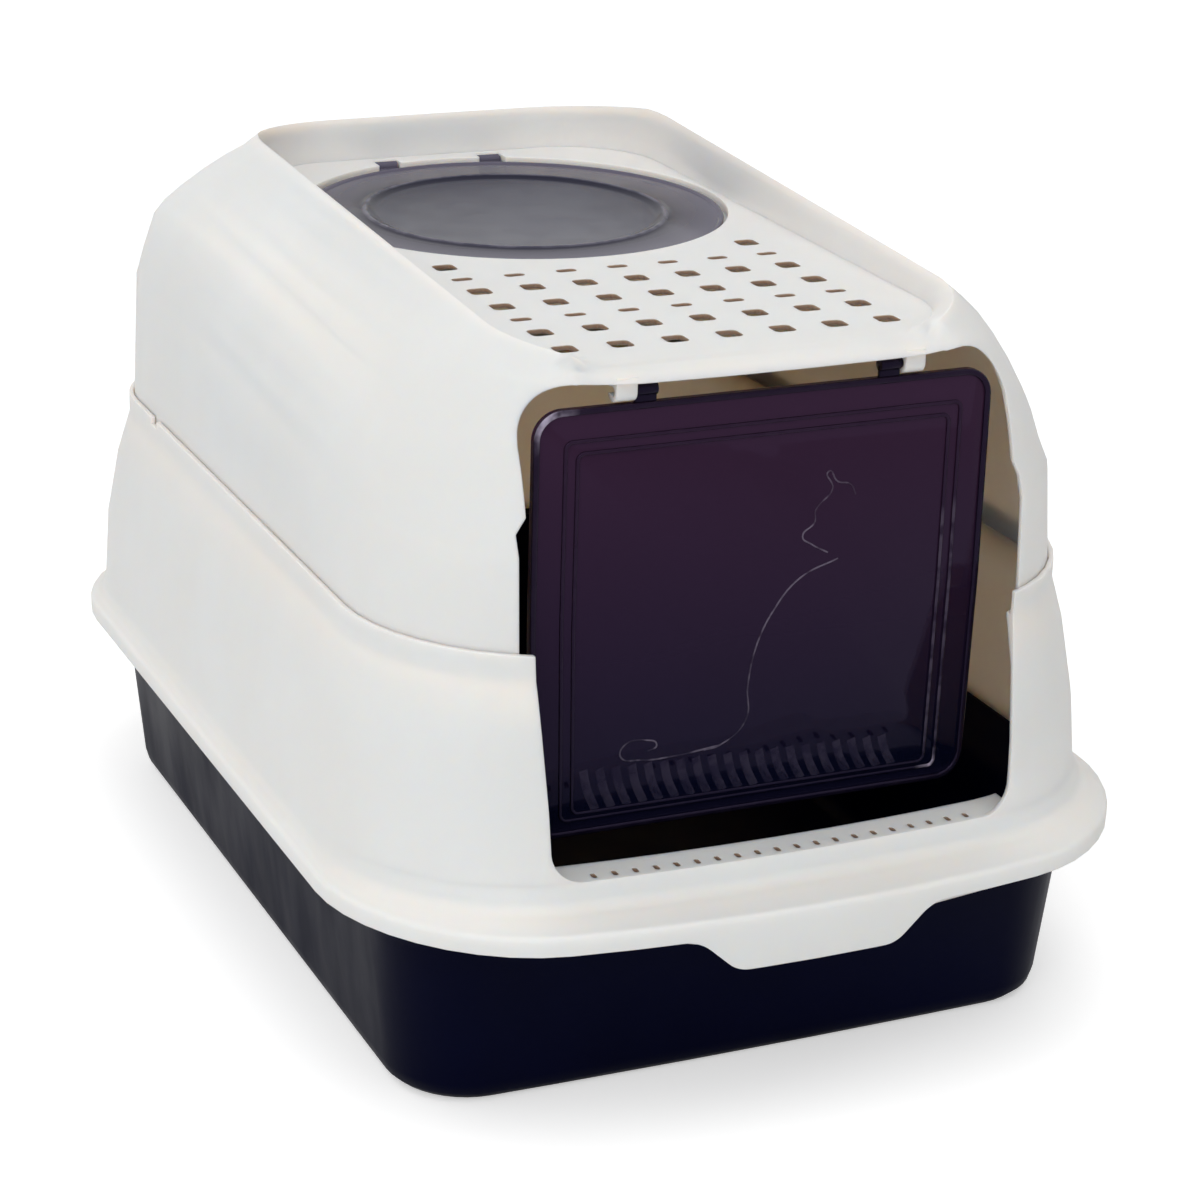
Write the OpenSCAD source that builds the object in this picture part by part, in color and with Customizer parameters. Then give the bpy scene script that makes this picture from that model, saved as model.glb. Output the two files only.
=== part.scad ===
/* [Overall] */
// Width over the hood's flange
flange_w = 423; // [400:1:450]
// Length over the hood's flange, without the bow of its front
flange_l = 560; // [540:1:600]
// Height of the level roof panel above the floor
roof_z = 358; // [350:1:390]
// Wall of the moulded shells
wall = 2.5; // [2:0.1:3]

/* [Base pan] */
// Width of the pan's flat bottom
pan_w = 360; // [330:1:364]
// Length of the pan's flat bottom
pan_l = 484; // [450:1:492]
// Height of the pan's rim, which carries the hood
rim_z = 110; // [100:1:114]
// How far each side wall leans out between the bottom and the flare
pan_lean = 8; // [4:0.5:10]
// Corner radius of the pan in plan, at its bottom
pan_corner_r = 40; // [30:1:55]
// Radius where the wall turns into the bottom
pan_foot_r = 12; // [8:1:14]
// Height over which the pan flares out to its rim
flare_h = 24; // [18:1:32]
// Depth of the edge turned down round the rim
rim_turn = 6; // [4:0.5:7]

/* [Lower hood] */
// How far the flange's lip hangs below the pan's rim
lip_drop = 7; // [4:0.5:10]
// Corner radius of the flange in plan
flange_corner_r = 88; // [80:1:100]
// How far the middle of the flange's front bows out
front_bow = 28; // [22:1:34]
// Height of the sill that paws step over
sill_z = 126; // [122:1:134]
// Depth of the sill from its front to its back edge
sill_l = 19; // [16:1:24]
// Height of the seam between the two hood shells
seam_z = 235; // [222:1:248]
// Height of the socket that the upper shell stands in
socket_h = 12; // [9:0.5:16]
// Clearance between the two shells in the socket
socket_gap = 0.5; // [0.4:0.1:0.8]

/* [Front grip tab] */
// Width of the tab where it leaves the flange
tab_top_w = 124; // [100:1:150]
// Width of the tab's lower edge
tab_bottom_w = 84; // [60:1:95]
// How far the tab hangs below the lip
tab_drop = 18; // [12:1:24]

/* [Doorway] */
// Width of the doorway in the upper shell
doorway_w = 255; // [246:1:262]
// How far the doorway's lower half is relieved on each side above the seam
doorway_relief = 4.5; // [1:0.5:6]
// How far the lower shell stands into the doorway on each side at the seam
doorway_step = 1; // [0:0.5:3]
// How much the doorway draws in on each side between the seam and the sill
doorway_taper = 4; // [2:0.5:6]
// Radius of the doorway's lower corners
sill_corner_r = 16; // [10:1:20]
// Distance of the doorway's top edge below the roof panel
doorway_drop = 3; // [2.5:0.5:6]
// Radius of the doorway's top corners
doorway_r = 28; // [18:1:36]

/* [Swing door] */
// Width of the door panel
door_w = 234; // [210:1:236]
// Thickness of the door panel
door_t = 2.4; // [2:0.1:3]
// Corner radius of the door panel
door_r = 24; // [14:1:34]
// Gap between the door's lower edge and the sill
door_sill_gap = 3.5; // [3:0.5:8]
// Distance of the hinge line below the roof panel
door_axis_drop = 8.5; // [8:0.5:10]
// Distance from the hinge line down to the door's top edge
door_hang = 6; // [5.5:0.5:9]
// Distance of the inner raised lines from the door's upper edge and sides
door_frame_inset = 15; // [12:1:26]
// How much nearer those lines come to the door's lower edge
door_frame_low = 4; // [0:1:8]
// Radius of the door's hinge pins
door_pin_r = 2.5; // [2:0.1:3]
// Distance over the outer faces of the two lugs
lug_span = 138; // [120:1:160]
// Width of each lug
lug_w = 11; // [8:0.5:14]
// Length of each hinge pin
door_pin_l = 9; // [7:0.5:10]

/* [Hatch] */
// Radius of the lid that closes the top entry
lid_r = 114; // [106:1:116]
// Distance of the lid's middle behind the middle of the pan
lid_y = 84; // [76:1:86]
// Thickness of the lid
lid_t = 2.6; // [2:0.1:3]
// Depth of the well that the lid lies in
well_depth = 6; // [6:0.5:8]
// Width of the ledge that carries the lid
ledge_w = 13; // [9:0.5:18]
// Clearance between the lid and the wall of its well
lid_gap = 2.4; // [1.5:0.1:3]
// Radius of the lid's hinge pins
lid_pin_r = 1.6; // [1.3:0.1:1.8]
// Distance over the outer faces of the lid's two knuckles
hinge_span = 76; // [60:1:90]
// Width of each knuckle
knuckle_w = 13; // [10:0.5:16]

/* [Roof vents] */
// Distance between neighbouring columns of vents
vent_pitch_x = 28.4; // [24:0.1:29]
// Distance from a row of large vents to a row of small ones
vent_pitch_small = 24; // [20:0.1:24.5]
// Distance between neighbouring rows of large vents
vent_pitch_large = 29.6; // [24:0.1:30]
// Distance from the lid's middle forward to the first two vents
vent_lead = 113; // [108:1:116]
// Columns of vents
vent_columns = 7; // [3:1:7]
// Side of a large vent
vent_side = 11.5; // [8:0.5:14]
// Width of a small vent
vent_small_w = 11; // [6:0.5:12]
// Length of a small vent
vent_small_l = 5.4; // [2:0.1:6]

/* [Sill slots] */
// Distance between neighbouring slots
slot_pitch = 10.5; // [8:0.1:12]
// Slots in the sill
slot_count = 20; // [8:1:21]
// Width of a slot
slot_w = 2.6; // [2:0.1:4]
// Length of a slot
slot_l = 5; // [4:0.5:8]
// Height of the comb that hangs from the sill's back edge
comb_h = 15; // [8:0.5:18]
// Width of the gaps between the comb's teeth
comb_gap = 4; // [2:0.5:6]

/* [Fits] */
// Radial clearance of each pin in its bore
pin_gap = 0.08; // [0.05:0.01:0.1]
// Gap left between parts that rest on each other
seat_gap = 0.3; // [0.2:0.05:0.5]

/* [Hidden] */
$fn = 48;

cream = [0.89, 0.88, 0.84];
navy = [0.10, 0.10, 0.17];
smoke = [0.28, 0.24, 0.34];

// Steps round one corner and along each bowed edge of an outline
corner_steps = 10;
edge_steps = 8;
// A length that reaches through any part of the box
reach = 400;

half_w = flange_w / 2;
half_l = flange_l / 2;
flange_z = rim_z + seat_gap + wall;
lip_z = rim_z - lip_drop;
flare_z = rim_z - flare_h;
socket_z = seam_z - socket_h;
doorway_top = roof_z - doorway_drop;
// The bows of the front and the rear differ, so every node is moved back by half of that
rear_bow = 0.3;
mid_y = front_bow * (1 - rear_bow) / 2;

// A row of a shell: height at the front, height at the rear, inset from the flange at the sides,
// at the front and at the rear, front and rear corner radius, bow of the front edge, climb to the rear
wall_bow = front_bow / 2;
lower_rows = [
    [lip_z, lip_z, 0, 0, 0, flange_corner_r, flange_corner_r, front_bow, 1],
    [flange_z - 2.6, flange_z - 2.6, 0, 0, 0, flange_corner_r, flange_corner_r, front_bow, 1],
    [flange_z - 0.8, flange_z - 0.8, 1, 1, 1, flange_corner_r - 1, flange_corner_r - 1, front_bow, 1],
    [flange_z, flange_z, 3, 3, 3, flange_corner_r - 3, flange_corner_r - 3, front_bow, 1],
    [flange_z + 2, flange_z + 2, 6, 10, 7, flange_corner_r - 4, flange_corner_r - 6, wall_bow + 6, 1],
    [flange_z + 7, flange_z + 7, 8, 15, 10, flange_corner_r, flange_corner_r - 10, wall_bow + 2, 1],
    [sill_z, sill_z, 9, 18, 12, flange_corner_r + 2, flange_corner_r - 12, wall_bow, 1],
    [sill_z + 36, sill_z + 36, 11, 20, 16, flange_corner_r + 4, flange_corner_r - 16, wall_bow - 1, 1],
    [socket_z - 24, socket_z - 24, 17, 24, 22, flange_corner_r + 4, flange_corner_r - 20, wall_bow - 2, 1],
    [socket_z, socket_z, 23.5, 27, 28.5, flange_corner_r + 4, flange_corner_r - 24, wall_bow - 2, 1],
    [seam_z, seam_z, 23.5, 27, 28.5, flange_corner_r + 4, flange_corner_r - 24, wall_bow - 2, 1]
];
socket_row = len(lower_rows) - 2;
seam_row = len(lower_rows) - 1;

// The upper shell stands inside the socket and rounds over to the roof
nest = wall + socket_gap;
upper_rows = [
    nested(lower_rows[socket_row], nest, seat_gap),
    nested(lower_rows[seam_row], nest, 0),
    [roof_z - 78, roof_z - 52, 30.7, 30.3, 34.8, flange_corner_r, flange_corner_r - 37, wall_bow - 3, 1],
    [roof_z - 67, roof_z - 35, 35, 30.7, 37, flange_corner_r + 3, flange_corner_r - 38, wall_bow - 4, 1],
    [roof_z - 52.5, roof_z - 17, 40.8, 31.2, 39.3, flange_corner_r + 2, flange_corner_r - 40, wall_bow - 4, 1],
    [roof_z - 44.5, roof_z - 10, 45.2, 32, 41.6, flange_corner_r - 1, flange_corner_r - 38.5, wall_bow - 5, 1],
    [roof_z - 28, roof_z - 2.5, 54.5, 33, 44.7, flange_corner_r - 3, flange_corner_r - 38, wall_bow - 5, 1],
    [roof_z - 13.5, roof_z + 4, 62.7, 36.5, 48.8, flange_corner_r - 3, flange_corner_r - 36, wall_bow - 6, 1],
    [roof_z - 4, roof_z + 12.3, 72.4, 43.5, 52.8, flange_corner_r - 15, flange_corner_r - 30, wall_bow - 7, 0.75],
    [roof_z - 0.8, roof_z + 20, 81, 54.3, 57.9, flange_corner_r - 31, flange_corner_r - 23, wall_bow - 8, 0.47],
    [roof_z + 0.4, roof_z + 29, 90, 61, 65, flange_corner_r - 40, flange_corner_r - 25, wall_bow - 9, 0.33],
    [roof_z + 0.5, roof_z + 22, 91.8, 70, 67.5, flange_corner_r - 42, flange_corner_r - 33, wall_bow - 10, 0.36],
    [roof_z, roof_z, 92.5, 78, 69.5, flange_corner_r - 43, flange_corner_r - 35, wall_bow - 10, 1]
];
foot_row = len(upper_rows) - 1;

function nested(row, by, up) =
    [row[0] + up, row[1] + up, row[2] + by, row[3] + by, row[4] + by, row[5] - by, row[6] - by, row[7], row[8]];

// A closed outline seen from above, from half width, front, rear, front and rear corner radius and bows
function corner(cx, cy, r, start) =
    [for (i = [0:corner_steps])
        [cx + r * cos(start + 90 * i / corner_steps), cy + r * sin(start + 90 * i / corner_steps)]];
function edge(a, b) = [for (i = [1:edge_steps - 1]) a + (b - a) * i / edge_steps];
function bowed(p, s) =
    let (side = 1 - pow(p[0] / s[0], 2))
    p[1] < s[1] + s[3] + 0.001 ? [p[0], p[1] - s[5] * side] :
    p[1] > s[2] - s[4] - 0.001 ? [p[0], p[1] + s[6] * side] : p;
function outline(s) =
    let (
        front_left = corner(-(s[0] - s[3]), s[1] + s[3], s[3], 180),
        front_right = corner(s[0] - s[3], s[1] + s[3], s[3], 270),
        rear_right = corner(s[0] - s[4], s[2] - s[4], s[4], 0),
        rear_left = corner(-(s[0] - s[4]), s[2] - s[4], s[4], 90),
        front = edge([-(s[0] - s[3]), s[1]], [s[0] - s[3], s[1]]),
        rear = edge([s[0] - s[4], s[2]], [-(s[0] - s[4]), s[2]])
    )
    [for (p = concat(front_left, front, front_right, rear_right, rear, rear_left)) bowed(p, s)];
function hood_shape(row) =
    [half_w - row[2], -half_l + row[3], half_l - row[4], row[5], row[6], row[7], row[7] * rear_bow];
function pan_shape(grow, grow_r) =
    [pan_w / 2 + grow, -pan_l / 2 - grow, pan_l / 2 + grow, pan_corner_r + grow_r, pan_corner_r + grow_r, 3, 3];

// A loop of points whose height climbs to the rear: evenly at 1, and below 1 faster behind the front.
// Close to the rear the climb falls off again.
rear_fall = 0.2;
fall_start = 0.9;
function climb(t, power) = pow(min(max(t, 0), 1), power) - rear_fall * max(t - fall_start, 0) / (1 - fall_start);
function loop(s, z_front, z_rear, power) =
    [for (p = outline(s)) [p[0], p[1], z_front + (z_rear - z_front) * climb((p[1] - s[1]) / (s[2] - s[1]), power)]];
function level(s, z) = [for (p = outline(s)) [p[0], p[1], z]];
function hood_loop(row) = loop(hood_shape(row), row[0], row[1], row[8]);

// Loop k moved in by one wall, each point to where the inner faces of the bands above and below it meet
sharpest = 0.4;
function inner_side(up, along) = let (side = cross(up, along)) side / max(norm(side), 0.001);
function inner_loop(loops, k) =
    let (n = len(loops[k]), last = len(loops) - 1)
    [for (i = [0:n - 1])
        let (
            along = loops[k][(i + 1) % n] - loops[k][(i + n - 1) % n],
            below = loops[max(k, 1)][i] - loops[max(k, 1) - 1][i],
            above = loops[min(k, last - 1) + 1][i] - loops[min(k, last - 1)][i],
            a = inner_side(below, along),
            b = inner_side(above, along)
        )
        loops[k][i] + wall / max(1 + a * b, sharpest) * (a + b)];

// Skin over a stack of loops: a ring joins its last loop to the first, an open stack gets two caps
function skin_faces(count, n, ring) =
    [for (k = [0:count - (ring ? 1 : 2)]) for (i = [0:n - 1])
        let (a = k * n + i, b = k * n + (i + 1) % n, k2 = (k + 1) % count, c = k2 * n + (i + 1) % n, d = k2 * n + i)
        each [[a, c, b], [a, d, c]]];
function cap_faces(count, n) =
    [[for (i = [0:n - 1]) i], [for (i = [n - 1:-1:0]) (count - 1) * n + i]];
module skin(stack, ring) {
    n = len(stack[0]);
    sides = skin_faces(len(stack), n, ring);
    polyhedron(
        points = [for (ring_points = stack) each ring_points],
        faces = ring ? sides : concat(sides, cap_faces(len(stack), n)),
        convexity = 8
    );
}

// Base pan: a tapered tray that flares to the rim under the hood
rim_clear = wall + 1.2;
function rim_shape(grow) =
    [half_w - rim_clear + grow, -half_l + rim_clear - grow, half_l - rim_clear + grow,
     flange_corner_r - rim_clear + grow, flange_corner_r - rim_clear + grow, front_bow, front_bow * rear_bow];
function foot_loop(r, inset, z, a) =
    let (grow = -inset - r * (1 - sin(a)), lift = z + r * (1 - cos(a)))
    level(pan_shape(grow, grow * 0.6), lift);
pan_neck = pan_lean + 4;
pan_shoulder = pan_lean + 14;
neck_z = flare_z + 8;
module base_pan() {
    color(navy)
    skin([
        for (a = [0:30:90]) foot_loop(pan_foot_r, 0, 0, a),
        level(pan_shape(pan_lean, pan_lean), flare_z),
        level(pan_shape(pan_neck, pan_neck + 2), neck_z),
        level(pan_shape(pan_shoulder, pan_shoulder + 6), rim_z - wall),
        level(rim_shape(-wall), rim_z - wall),
        level(rim_shape(-wall), rim_z - rim_turn),
        level(rim_shape(0), rim_z - rim_turn),
        level(rim_shape(0), rim_z - 0.8),
        level(rim_shape(-0.8), rim_z),
        level(pan_shape(pan_shoulder - 1, pan_shoulder + 5), rim_z),
        level(pan_shape(pan_neck - wall, pan_neck), neck_z + 1),
        level(pan_shape(pan_lean - wall, pan_lean - wall), flare_z + 0.5),
        for (a = [90:-30:0]) foot_loop(pan_foot_r - wall, wall, wall, a)
    ], false);
}

// Lower hood: flange, skirt, sill with its slots, socket for the upper shell, grip tab
ledge_reach = nest + wall;
// The socket's ledge is carried by a slanted underside, which starts this far in and up from the wall
ledge_slant = 5;
ledge_rise = 14;
// A snap notch: distance behind the pan's middle, length, depth below the seam, and how far the cut reaches in
snap_y = 148;
snap_l = 10;
snap_h = 4;
snap_in = 50;
// How far behind the front edge a cut through the front wall starts
front_cut_in = 90;
module lower_shell() {
    outer = [for (row = lower_rows) hood_loop(row)];
    lip_in = nested(lower_rows[0], wall, 0);
    flange_in = nested(lower_rows[4], wall + 0.5, 0);
    roof_under = rim_z + seat_gap;
    skin([
        each outer,
        hood_loop(nested(lower_rows[seam_row], wall, 0)),
        hood_loop(nested(lower_rows[socket_row], wall, 0)),
        hood_loop(nested(lower_rows[socket_row], ledge_reach, 0)),
        hood_loop(nested(lower_rows[socket_row], ledge_reach, -2)),
        hood_loop(nested(lower_rows[socket_row - 1], wall + ledge_slant, ledge_rise)),
        for (k = [socket_row - 1:-1:5]) inner_loop(outer, k),
        level(hood_shape(flange_in), roof_under),
        level(hood_shape(lip_in), roof_under),
        hood_loop(lip_in)
    ], true);
}
// Doorway as seen from the front, pushed through the front wall. The relief ends at this share of the
// height between the seam and the top corners, in a short slant.
relief_share = 0.6;
relief_slant = 8;
module front_cut() {
    translate([0, -half_l + front_cut_in, 0]) rotate([90, 0, 0]) linear_extrude(reach) children();
}
module upper_doorway() {
    w = doorway_w / 2;
    relief_w = w + doorway_relief;
    corner_z = doorway_top - doorway_r;
    relief_top = seam_z + relief_share * (corner_z - seam_z);
    slant_top = relief_top + relief_slant;
    front_cut() {
        polygon([
            [-w, corner_z], [-w, slant_top], [-relief_w, relief_top], [-relief_w, 0],
            [relief_w, 0], [relief_w, relief_top], [w, slant_top], [w, corner_z]
        ]);
        translate([-w + doorway_r, seam_z]) square([2 * (w - doorway_r), doorway_top - seam_z]);
        for (side = [-1, 1]) translate([side * (w - doorway_r), corner_z]) circle(doorway_r);
    }
}
module lower_doorway() {
    top_w = doorway_w / 2 - doorway_step;
    low_w = top_w - doorway_taper;
    corner_x = low_w - sill_corner_r;
    front_cut() {
        polygon([
            [-low_w, sill_z + sill_corner_r], [-corner_x, sill_z], [corner_x, sill_z],
            [low_w, sill_z + sill_corner_r], [top_w, seam_z], [top_w, roof_z], [-top_w, roof_z], [-top_w, seam_z]
        ]);
        for (side = [-1, 1]) translate([side * corner_x, sill_z + sill_corner_r]) circle(sill_corner_r);
    }
}

// Sill: a ledge inside the front wall, pierced by a row of slots, with a comb hanging from its back edge
sill_row = lower_rows[6];
comb_t = 2;
comb_head = 3;
slot_inset = 3.5;
function sill_line(x) = -half_l + sill_row[3] - sill_row[7] * (1 - pow(x / (half_w - sill_row[2]), 2));
module sill_band(from, to) {
    intersection() {
        difference() {
            polygon(outline(hood_shape(nested(sill_row, from, 0))));
            polygon(outline(hood_shape(nested(sill_row, to, 0))));
        }
        translate([-doorway_w / 2, -reach]) square([doorway_w, reach]);
    }
}
module slot() {
    translate([-slot_w / 2, -slot_l / 2 + slot_w / 2]) square([slot_w, slot_l - slot_w]);
    for (end = [-1, 1]) translate([0, end * (slot_l - slot_w) / 2]) circle(slot_w / 2);
}
module sill() {
    slot_x = [for (k = [0:slot_count - 1]) (k - (slot_count - 1) / 2) * slot_pitch];
    difference() {
        union() {
            translate([0, 0, sill_z - wall]) linear_extrude(wall) sill_band(wall / 4, sill_l);
            translate([0, 0, sill_z - comb_h]) linear_extrude(comb_h) sill_band(sill_l - comb_t, sill_l);
        }
        for (x = slot_x) {
            translate([x, sill_line(x) + slot_inset + slot_l / 2, sill_z - 2 * wall])
                linear_extrude(3 * wall) slot();
            translate([x - comb_gap / 2, sill_line(x) + sill_l - 2 * comb_t, sill_z - reach])
                cube([comb_gap, 4 * comb_t, reach - comb_head]);
        }
    }
}

// Grip tab: the front of the lip carried down to a straight lower edge with slanted ends
module grip_tab() {
    lip = lower_rows[0];
    intersection() {
        translate([0, 0, lip_z - tab_drop]) linear_extrude(tab_drop + 3) difference() {
            polygon(outline(hood_shape(lip)));
            polygon(outline(hood_shape(nested(lip, wall, 0))));
        }
        rotate([90, 0, 0]) linear_extrude(reach) polygon([
            [-tab_bottom_w / 2, lip_z - tab_drop],
            [tab_bottom_w / 2, lip_z - tab_drop],
            [tab_top_w / 2, lip_z],
            [tab_top_w / 2, lip_z + 3],
            [-tab_top_w / 2, lip_z + 3],
            [-tab_top_w / 2, lip_z]
        ]);
    }
}

// Snap notches in the seam, one on each side near the rear
module snap_notches() {
    for (side = [-1, 1])
        translate([side * half_w, snap_y, seam_z])
        cube([2 * snap_in, snap_l, 2 * snap_h], center = true);
}
module hood_lower() {
    color(cream) {
        difference() {
            lower_shell();
            lower_doorway();
            snap_notches();
        }
        sill();
        grip_tab();
    }
}

// Upper hood: dome with a sunk level panel that holds the hatch and the vents
module upper_shell() {
    outer = [for (row = upper_rows) hood_loop(row)];
    foot = upper_rows[foot_row];
    skin([
        each outer,
        hood_loop(nested(foot, 0, -wall)),
        hood_loop(nested(foot, -wall, -wall)),
        for (k = [foot_row - 1:-1:1]) inner_loop(outer, k),
        hood_loop(nested(upper_rows[0], wall, 0))
    ], true);
}

// Hatch outlines about the lid's middle: a disc with two hinge knuckles behind
hinge_r = lid_pin_r + 1.2;
hinge_back = 2;
hinge_y = lid_r + hinge_back + hinge_r;
knuckle_x = (hinge_span - knuckle_w) / 2;
knuckle_root = 14;
hinge_z = roof_z - well_depth + seat_gap + hinge_r;
well_r = lid_r + lid_gap;
// Clearance round the knuckles, size of the cheeks that hold their pins, and length of the pins
hinge_room = 0.8;
cheek_w = 9;
cheek_l = 2 * hinge_r + 4;
lid_pin_l = 6;
module disc(r) {
    circle(r, $fn = 96);
}
module well_outline(grow) {
    back = hinge_y + hinge_r + hinge_room + grow;
    pocket_w = knuckle_w + 2 * (hinge_room + grow);
    disc(well_r + grow);
    for (side = [-1, 1]) translate([side * knuckle_x - pocket_w / 2, 0]) square([pocket_w, back]);
}
module well() {
    well_z = roof_z - well_depth - wall;
    translate([0, lid_y, well_z]) {
        linear_extrude(well_depth + wall) difference() {
            well_outline(wall);
            well_outline(0);
        }
        linear_extrude(wall) difference() {
            well_outline(wall);
            disc(well_r - ledge_w);
        }
        for (side = [-1, 1])
            translate([side * (hinge_span / 2 + hinge_room + cheek_w / 2), hinge_y, (well_depth + wall) / 2])
            cube([cheek_w, cheek_l, well_depth + wall], center = true);
    }
}
module hatch_bores() {
    for (side = [-1, 1])
        translate([side * (hinge_span / 2 + hinge_room - 1), lid_y + hinge_y, hinge_z])
        rotate([0, side * 90, 0])
        cylinder(r = lid_pin_r + pin_gap, h = lid_pin_l);
}

// Vents in the level panel, in rows from the hatch to the front
first_row = lid_y - vent_lead;
large_rows = [2 * vent_pitch_small, 2 * vent_pitch_small + vent_pitch_large,
    4 * vent_pitch_small + vent_pitch_large, 4 * vent_pitch_small + 2 * vent_pitch_large];
small_rows = [vent_pitch_small, 3 * vent_pitch_small + vent_pitch_large];
module rounded(w, l, r) {
    square([w - 2 * r, l], center = true);
    square([w, l - 2 * r], center = true);
    for (x = [-1, 1]) for (y = [-1, 1]) translate([x * (w / 2 - r), y * (l / 2 - r)]) circle(r, $fn = 24);
}
module vents() {
    for (c = [0:vent_columns - 1]) {
        x = (c - (vent_columns - 1) / 2) * vent_pitch_x;
        for (row = large_rows) translate([x, first_row - row]) rounded(vent_side, vent_side, 3);
        for (row = small_rows) translate([x, first_row - row]) rounded(vent_small_w, vent_small_l, vent_small_l / 2 - 0.1);
    }
    for (side = [-1, 1])
        translate([side * (vent_columns - 1) / 2 * vent_pitch_x, first_row])
        rounded(vent_side, vent_side, 3);
}

// Hooks that carry the swing door, rounded about the hinge line and open to the rear
door_axis_y = -half_l + 52;
door_axis_z = roof_z - door_axis_drop;
hook_r = 5;
hook_l = door_pin_l + 1.5;
module door_hooks() {
    for (side = [-1, 1])
        translate([side * (lug_span / 2 + 0.7 + hook_l / 2), door_axis_y, door_axis_z]) {
            rotate([0, 90, 0]) cylinder(r = hook_r, h = hook_l, center = true);
            translate([-hook_l / 2, -hook_r, 0]) cube([hook_l, 2 * hook_r, roof_z - wall / 2 - door_axis_z]);
        }
}
module door_bores() {
    mouth = door_pin_r * 1.5;
    translate([0, door_axis_y, door_axis_z]) {
        rotate([0, 90, 0]) cylinder(r = door_pin_r + pin_gap, h = lug_span + 4 * hook_l, center = true);
        translate([-lug_span, 0, -mouth / 2]) cube([2 * lug_span, hook_r + 1, mouth]);
    }
}
module hood_upper() {
    panel = outline(hood_shape(nested(upper_rows[foot_row], -1, 0)));
    color(cream)
    difference() {
        union() {
            difference() {
                union() {
                    upper_shell();
                    translate([0, 0, roof_z - wall]) linear_extrude(wall) difference() {
                        polygon(panel);
                        translate([0, lid_y]) well_outline(wall / 2);
                        vents();
                    }
                }
                upper_doorway();
            }
            well();
            difference() {
                door_hooks();
                door_bores();
            }
        }
        hatch_bores();
    }
}

// Swing door: smoked panel with a raised border, a raised inner line and two hinge lugs
door_rib = 1.4;
frame_step = 6;
frame_corner_r = 8;
border_w = 3;
door_h = door_axis_z - door_hang - sill_z - door_sill_gap;
module door_outline(inset) {
    rounded(door_w - 2 * inset, door_h - 2 * inset, door_r - inset);
}
module frame_outline(inset) {
    translate([0, -door_frame_low / 2])
    rounded(door_w - 2 * inset, door_h - 2 * inset + door_frame_low, frame_corner_r);
}
module frame_line(inset, w) {
    linear_extrude(door_t + door_rib) difference() {
        frame_outline(inset);
        frame_outline(inset + w);
    }
}
module swing_door() {
    lug_t = 2 * door_pin_r + 1.6;
    color(smoke)
    translate([0, door_axis_y, door_axis_z]) {
        translate([0, door_t / 2, -door_hang - door_h / 2]) rotate([90, 0, 0]) {
            linear_extrude(door_t) door_outline(0);
            linear_extrude(door_t + door_rib) difference() {
                door_outline(0);
                door_outline(border_w);
            }
            frame_line(door_frame_inset, 2);
            frame_line(door_frame_inset + frame_step, 1.6);
        }
        for (side = [-1, 1]) translate([side * (lug_span - lug_w) / 2, 0, 0]) {
            rotate([0, 90, 0]) cylinder(d = lug_t, h = lug_w, center = true);
            translate([-lug_w / 2, -door_t / 2, -door_hang - 3]) cube([lug_w, door_t, door_hang + 3]);
        }
        for (side = [-1, 1])
            translate([side * (lug_span / 2 - 1), 0, 0])
            rotate([0, side * 90, 0])
            cylinder(r = door_pin_r, h = door_pin_l + 1);
    }
}

// Hatch lid: a smoked disc with a raised rim, a raised ring and two hinge knuckles
module hatch_lid() {
    ring_r = lid_r * 0.73;
    color(smoke)
    translate([0, lid_y, roof_z - well_depth + seat_gap]) {
        difference() {
            linear_extrude(lid_t) disc(lid_r);
            translate([0, 0, lid_t - 0.8]) cylinder(r = ring_r - 3, h = 2, $fn = 96);
        }
        linear_extrude(lid_t + 1) difference() {
            disc(lid_r);
            disc(lid_r - 3);
        }
        linear_extrude(lid_t + 1.2) difference() {
            circle(ring_r, $fn = 96);
            circle(ring_r - 3, $fn = 96);
        }
        for (side = [-1, 1]) {
            translate([side * knuckle_x - knuckle_w / 2, lid_r - knuckle_root, 0])
                cube([knuckle_w, hinge_y - lid_r + knuckle_root, lid_t]);
            translate([side * knuckle_x, hinge_y, hinge_r]) rotate([0, 90, 0])
                cylinder(r = hinge_r, h = knuckle_w, center = true);
            translate([side * (hinge_span / 2 - 1), hinge_y, hinge_r]) rotate([0, side * 90, 0])
                cylinder(r = lid_pin_r, h = lid_pin_l);
        }
    }
}

translate([0, mid_y, 0]) base_pan();
translate([0, mid_y, 0]) hood_lower();
translate([0, mid_y, 0]) hood_upper();
translate([0, mid_y, 0]) swing_door();
translate([0, mid_y, 0]) hatch_lid();
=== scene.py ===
"""Dresses the hooded litter box: moulded shells, smoked door and lid, floor, lamps and camera."""

import logging
import math
from collections.abc import Iterable
from dataclasses import dataclass
from enum import Enum

import bmesh
import bpy
from mathutils import Matrix, Vector

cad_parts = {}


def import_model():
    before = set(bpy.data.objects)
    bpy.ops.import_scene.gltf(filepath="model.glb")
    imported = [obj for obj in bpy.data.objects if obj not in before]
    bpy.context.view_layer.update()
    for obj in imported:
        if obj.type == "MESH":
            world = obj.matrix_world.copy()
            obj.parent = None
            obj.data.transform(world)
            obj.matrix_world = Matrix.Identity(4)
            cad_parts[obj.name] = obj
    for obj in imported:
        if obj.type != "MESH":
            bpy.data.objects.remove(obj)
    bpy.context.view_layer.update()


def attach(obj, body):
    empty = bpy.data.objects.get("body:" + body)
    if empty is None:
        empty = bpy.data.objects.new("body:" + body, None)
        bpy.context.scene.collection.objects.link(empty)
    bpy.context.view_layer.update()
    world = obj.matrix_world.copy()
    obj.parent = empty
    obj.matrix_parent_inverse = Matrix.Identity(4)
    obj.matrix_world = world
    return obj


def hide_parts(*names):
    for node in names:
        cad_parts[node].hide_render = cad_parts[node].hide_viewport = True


log = logging.getLogger("litter_box")

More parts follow.
